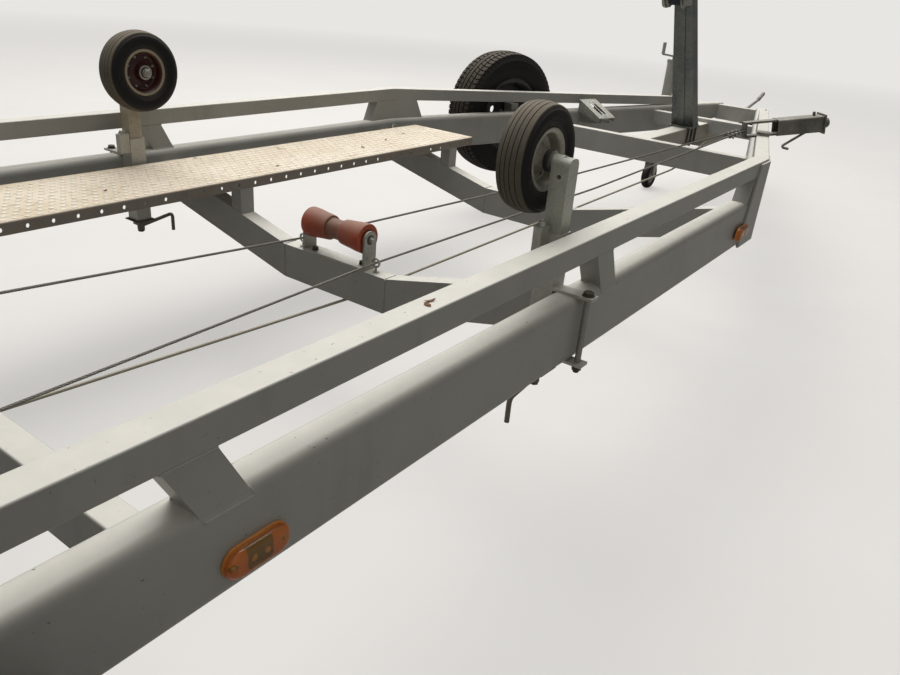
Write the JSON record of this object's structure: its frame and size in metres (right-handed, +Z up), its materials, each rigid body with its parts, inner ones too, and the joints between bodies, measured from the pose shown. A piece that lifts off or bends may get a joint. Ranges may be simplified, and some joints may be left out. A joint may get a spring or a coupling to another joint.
{
  "type": "boat trailer",
  "caption": "Tandem-axle boat trailer: deep side beams with raised rails, converging nose, drop members with keel rollers, hull support wheels, walkway, mast and overrun coupling.",
  "frame": {"origin": "on the floor below the middle of the trailer's length and width", "axes": "+X forward to the coupling, +Y to the left, +Z up"},
  "size_m": [10.28, 2.55, 1.6263],
  "materials": {
    "frame_paint": "semi-gloss grey paint",
    "walkway_steel": "dirty galvanised anti-slip plate",
    "galvanised": "galvanised",
    "roller_orange": "cast polyurethane",
    "support_rim": "zinc-plated disc",
    "tyre": "worn rubber",
    "wheel_steel": "silver paint",
    "rim_black": "black paint",
    "mudguard_plastic": "moulded",
    "rubber_black": "moulded",
    "coupling_steel": "dark grey cast steel",
    "lever_black": "black",
    "wire_rope": "stranded steel",
    "amber_lens": "moulded lens",
    "red_lens": "moulded lens"
  },
  "bodies": {
    "frame": {"main_beams": "frame_paint", "top_rails": "frame_paint", "rail_stubs": "frame_paint", "bend_plates": "frame_paint", "cross_members": "frame_paint", "dropped_members": "frame_paint", "centre_tubes": "frame_paint", "walkway": "walkway_steel", "roller_brackets": "galvanised", "post_sleeves": "galvanised", "height_cranks": "galvanised", "torsion_axles": "galvanised", "spare_bracket": "galvanised", "winch_mast": "galvanised", "mast_clamps": "galvanised", "winch_frame": "galvanised", "eye_bolts": "galvanised", "wheel_chock": "galvanised", "jockey_tube": "galvanised", "spare_rim": "rim_black", "spare_tyre": "tyre", "mudguards": "mudguard_plastic", "bow_stop": "rubber_black", "overrun_coupling": "coupling_steel", "drawtube_gaiter": "rubber_black", "handbrake_lever": "lever_black", "brake_rod": "galvanised", "pull_wires": "wire_rope", "wire_tensioner": "galvanised", "marker_lights": "amber_lens", "tail_lights": "red_lens"},
    "keel_roller_rear": {"keel_roller_rear": "roller_orange"},
    "keel_roller_middle": {"keel_roller_middle": "roller_orange"},
    "keel_roller_front": {"keel_roller_front": "roller_orange"},
    "support_post_front_left": {"support_post_front_left": "galvanised"},
    "support_wheel_front_left": {"support_rim_front_left": "support_rim", "support_tyre_front_left": "tyre"},
    "support_post_front_right": {"support_post_front_right": "galvanised"},
    "support_wheel_front_right": {"support_rim_front_right": "support_rim", "support_tyre_front_right": "tyre"},
    "support_post_rear_left": {"support_post_rear_left": "galvanised"},
    "support_wheel_rear_left": {"support_rim_rear_left": "support_rim", "support_tyre_rear_left": "tyre"},
    "support_post_rear_right": {"support_post_rear_right": "galvanised"},
    "support_wheel_rear_right": {"support_rim_rear_right": "support_rim", "support_tyre_rear_right": "tyre"},
    "road_wheel_front_left": {"road_wheel_front_left": "wheel_steel", "road_tyre_front_left": "tyre"},
    "road_wheel_front_right": {"road_wheel_front_right": "wheel_steel", "road_tyre_front_right": "tyre"},
    "road_wheel_rear_left": {"road_wheel_rear_left": "wheel_steel", "road_tyre_rear_left": "tyre"},
    "road_wheel_rear_right": {"road_wheel_rear_right": "wheel_steel", "road_tyre_rear_right": "tyre"},
    "winch_drum": {"winch_drum": "galvanised"},
    "jockey_leg": {"jockey_leg": "galvanised"},
    "jockey_fork": {"jockey_fork": "galvanised"},
    "jockey_wheel": {"jockey_wheel": "rubber_black"}
  },
  "joints": [
    {"name": "keel_roller_spin_rear", "type": "hinge", "parent": "frame", "child": "keel_roller_rear", "pos_m": [-2.83, 0, 0.543], "axis": [0, 1, 0], "continuous": true},
    {"name": "keel_roller_spin_middle", "type": "hinge", "parent": "frame", "child": "keel_roller_middle", "pos_m": [-0.06, 0, 0.543], "axis": [0, 1, 0], "continuous": true},
    {"name": "keel_roller_spin_front", "type": "hinge", "parent": "frame", "child": "keel_roller_front", "pos_m": [1.26, 0, 0.543], "axis": [0, 1, 0], "continuous": true},
    {"name": "support_height_front_left", "type": "slide", "parent": "frame", "child": "support_post_front_left", "axis": [0, 0, 1], "range_m": [-0.14, 0.08]},
    {"name": "support_spin_front_left", "type": "hinge", "parent": "support_post_front_left", "child": "support_wheel_front_left", "pos_m": [-0.24, 0.822, 0.968], "axis": [0, 1, 0], "continuous": true},
    {"name": "support_height_front_right", "type": "slide", "parent": "frame", "child": "support_post_front_right", "axis": [0, 0, 1], "range_m": [-0.14, 0.08]},
    {"name": "support_spin_front_right", "type": "hinge", "parent": "support_post_front_right", "child": "support_wheel_front_right", "pos_m": [-0.215, -0.822, 0.968], "axis": [0, 1, 0], "continuous": true},
    {"name": "support_height_rear_left", "type": "slide", "parent": "frame", "child": "support_post_rear_left", "axis": [0, 0, 1], "range_m": [-0.14, 0.08]},
    {"name": "support_spin_rear_left", "type": "hinge", "parent": "support_post_rear_left", "child": "support_wheel_rear_left", "pos_m": [-3.79, 0.822, 0.968], "axis": [0, 1, 0], "continuous": true},
    {"name": "support_height_rear_right", "type": "slide", "parent": "frame", "child": "support_post_rear_right", "axis": [0, 0, 1], "range_m": [-0.14, 0.08]},
    {"name": "support_spin_rear_right", "type": "hinge", "parent": "support_post_rear_right", "child": "support_wheel_rear_right", "pos_m": [-3.79, -0.822, 0.968], "axis": [0, 1, 0], "continuous": true},
    {"name": "road_wheel_spin_front_left", "type": "hinge", "parent": "frame", "child": "road_wheel_front_left", "pos_m": [-2.074, 1.148, 0.37], "axis": [0, 1, 0], "continuous": true},
    {"name": "road_wheel_spin_front_right", "type": "hinge", "parent": "frame", "child": "road_wheel_front_right", "pos_m": [-2.074, -1.148, 0.37], "axis": [0, 1, 0], "continuous": true},
    {"name": "road_wheel_spin_rear_left", "type": "hinge", "parent": "frame", "child": "road_wheel_rear_left", "pos_m": [-2.874, 1.148, 0.37], "axis": [0, 1, 0], "continuous": true},
    {"name": "road_wheel_spin_rear_right", "type": "hinge", "parent": "frame", "child": "road_wheel_rear_right", "pos_m": [-2.874, -1.148, 0.37], "axis": [0, 1, 0], "continuous": true},
    {"name": "winch_drum_turn", "type": "hinge", "parent": "frame", "child": "winch_drum", "pos_m": [2.68153, 0, 1.36176], "axis": [0, 1, 0], "continuous": true},
    {"name": "jockey_height", "type": "slide", "parent": "frame", "child": "jockey_leg", "axis": [0, 0, 1], "range_m": [0, 0.17]},
    {"name": "jockey_swivel", "type": "hinge", "parent": "jockey_leg", "child": "jockey_fork", "pos_m": [3.88, 0.40324, 0.236], "axis": [0, 0, 1], "continuous": true},
    {"name": "jockey_spin", "type": "hinge", "parent": "jockey_fork", "child": "jockey_wheel", "pos_m": [3.835, 0.40324, 0.1], "axis": [0, 1, 0], "continuous": true}
  ]
}
